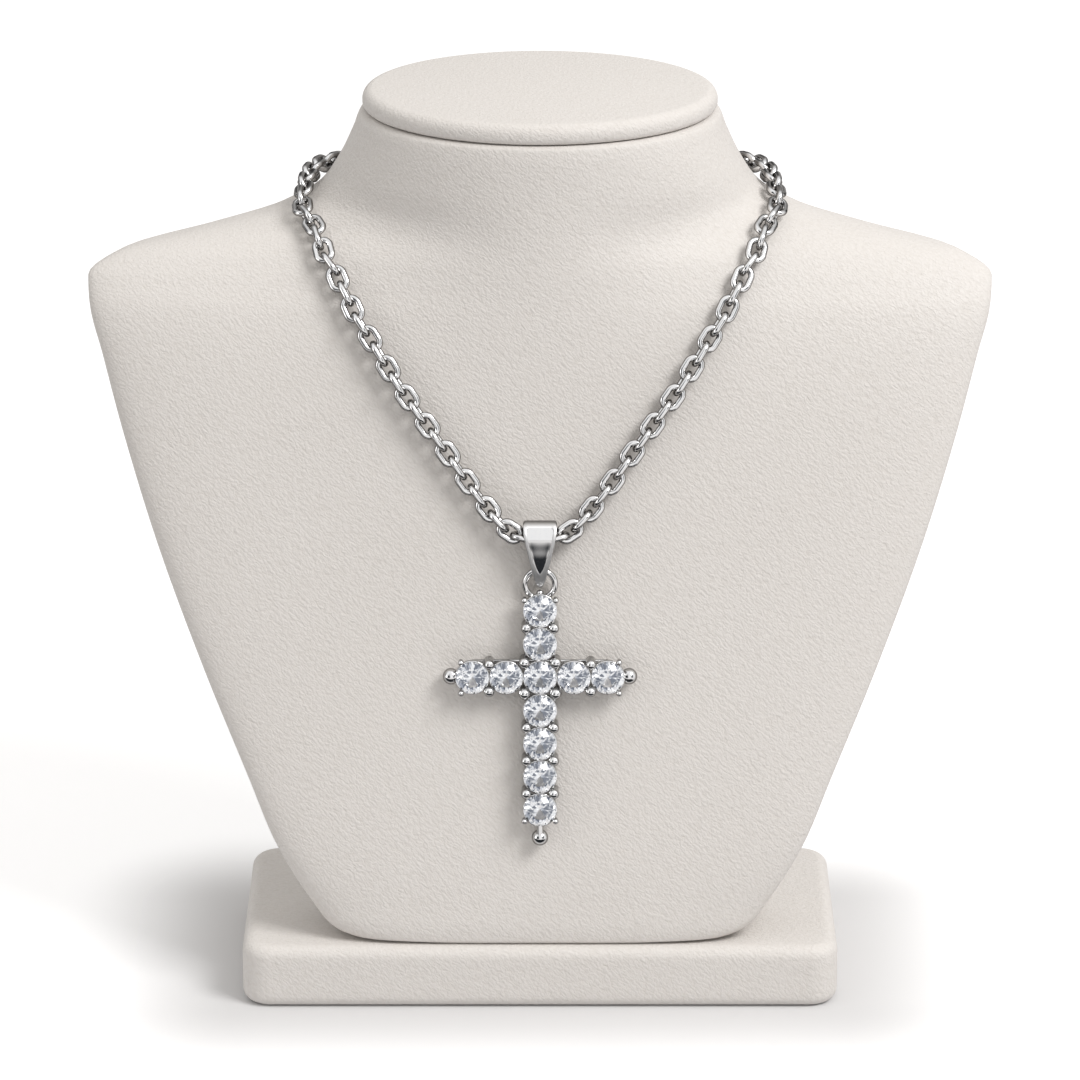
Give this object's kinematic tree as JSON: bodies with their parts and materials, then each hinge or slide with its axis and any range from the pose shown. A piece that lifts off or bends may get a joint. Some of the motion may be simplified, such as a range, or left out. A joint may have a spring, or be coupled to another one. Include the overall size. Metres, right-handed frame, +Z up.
{
  "type": "cross pendant necklace on neck bust",
  "caption": "Polished chain necklace with a tapered bail and a prong-set cross of round clear stones, resting on a plain leatherette neck bust with a rectangular base.",
  "frame": {"origin": "centre of the base's bottom face", "axes": "+X to the right as seen from the front, +Y from the front to the back, +Z up"},
  "size_m": [0.2484, 0.1179, 0.2471],
  "materials": {
    "leatherette": "satin, fine grain",
    "polished_metal": "polished",
    "clear_stone": "faceted, clear"
  },
  "bodies": {
    "root": {"display_base": "leatherette", "display_bust": "leatherette", "neck_cap": "leatherette", "chain_left": "polished_metal", "chain_right": "polished_metal", "clasp": "polished_metal", "bail": "polished_metal", "jump_ring": "polished_metal", "cross_setting": "polished_metal", "stone_1": "clear_stone", "stone_2": "clear_stone", "stone_3": "clear_stone", "stone_4": "clear_stone", "stone_5": "clear_stone", "stone_6": "clear_stone", "stone_7": "clear_stone", "stone_8": "clear_stone", "stone_9": "clear_stone", "stone_10": "clear_stone", "stone_11": "clear_stone"}
  },
  "joints": []
}
